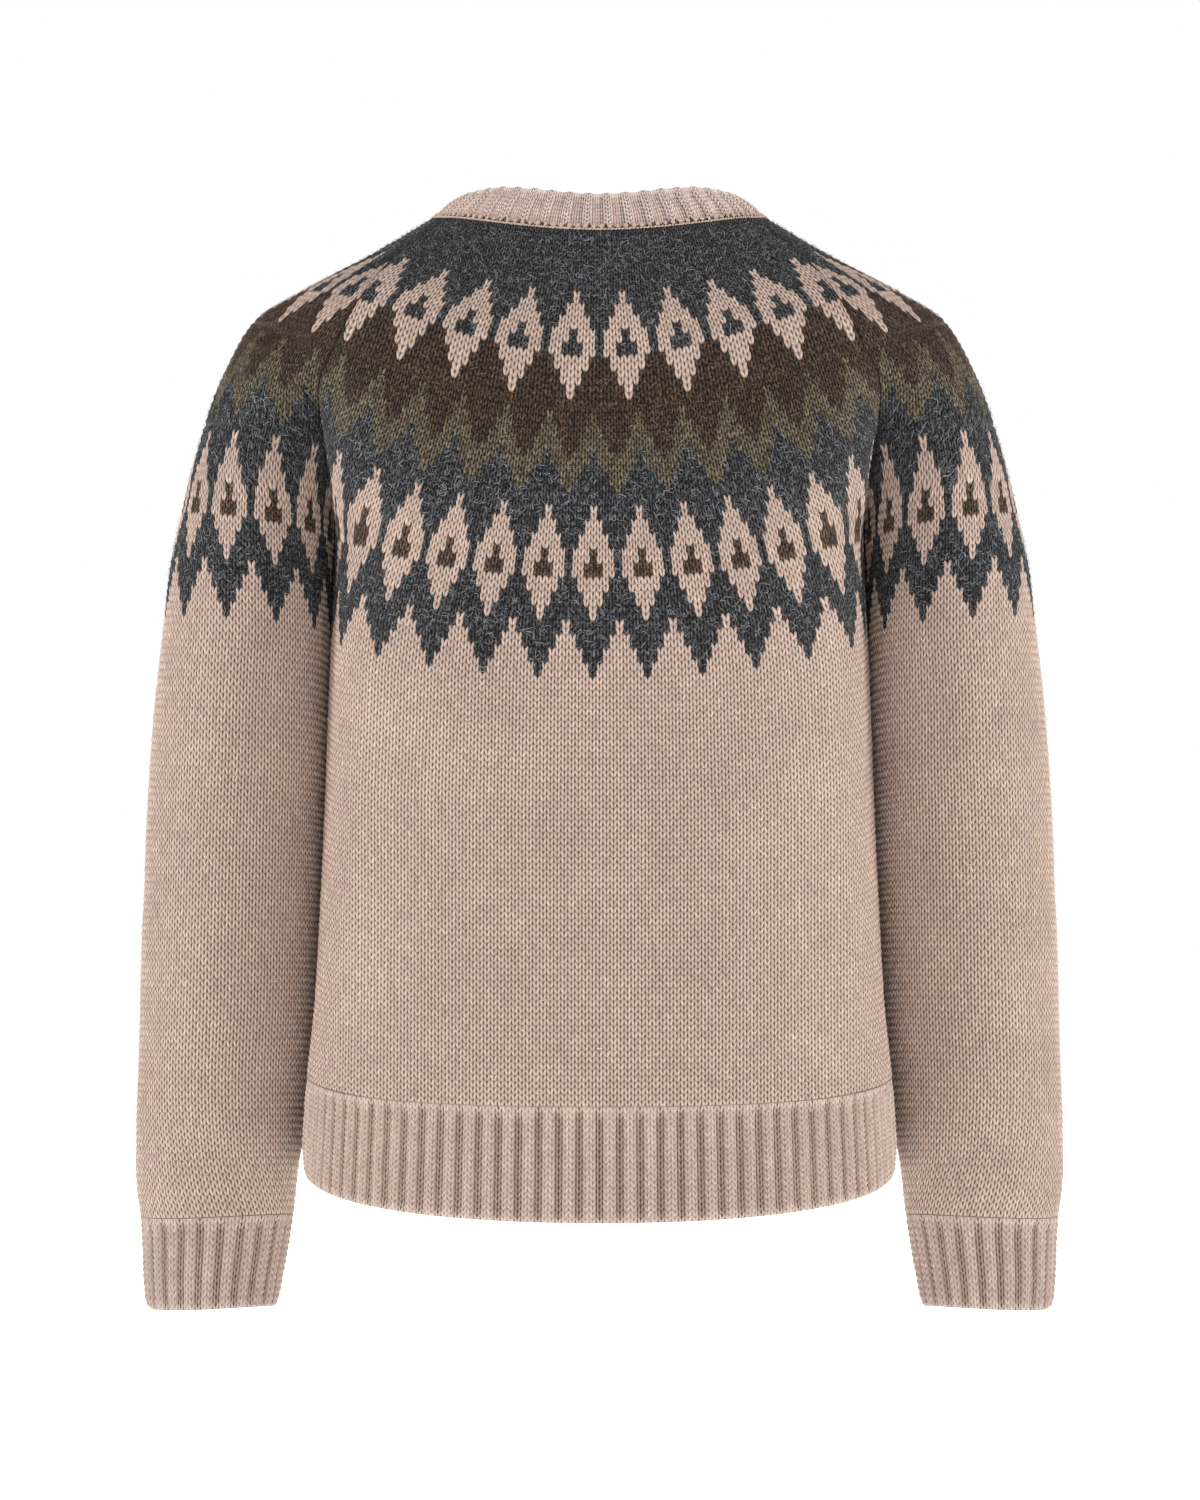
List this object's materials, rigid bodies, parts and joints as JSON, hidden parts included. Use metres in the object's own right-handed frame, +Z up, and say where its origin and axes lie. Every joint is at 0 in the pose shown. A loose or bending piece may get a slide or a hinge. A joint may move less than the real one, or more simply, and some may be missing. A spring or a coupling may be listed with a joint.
{
  "type": "knitted cardigan, worn form with no wearer",
  "caption": "Hollow worn knitted cardigan with raglan sleeves, a zigzag and diamond yoke, ribbed hem, cuffs and neckband, and a buttoned front.",
  "frame": {"origin": "centre of the neck opening, level with the neck seam at the shoulders, where a wearer or a form holds the garment", "axes": "+Z up towards the neck, +Y towards the wearer's front, +X towards the wearer's right"},
  "size_m": [0.5348, 0.2462, 0.6388],
  "materials": {
    "knit_yoke": "stranded colourwork stockinette in oatmeal, charcoal, brown and olive wool",
    "knit_rib": "oatmeal wool in two by one rib",
    "button": "brown horn look, satin"
  },
  "bodies": {
    "root": {"back": "knit_yoke", "front_left": "knit_yoke", "front_right": "knit_yoke", "sleeve_left": "knit_yoke", "sleeve_right": "knit_yoke", "hem_back": "knit_rib", "hem_front_left": "knit_rib", "hem_front_right": "knit_rib", "cuff_left": "knit_rib", "cuff_right": "knit_rib", "collar": "knit_rib", "button_band": "knit_rib", "buttonhole_band": "knit_rib", "button_1": "button", "button_2": "button", "button_3": "button", "button_4": "button", "button_5": "button", "button_6": "button", "button_7": "button", "button_8": "button"}
  },
  "joints": []
}
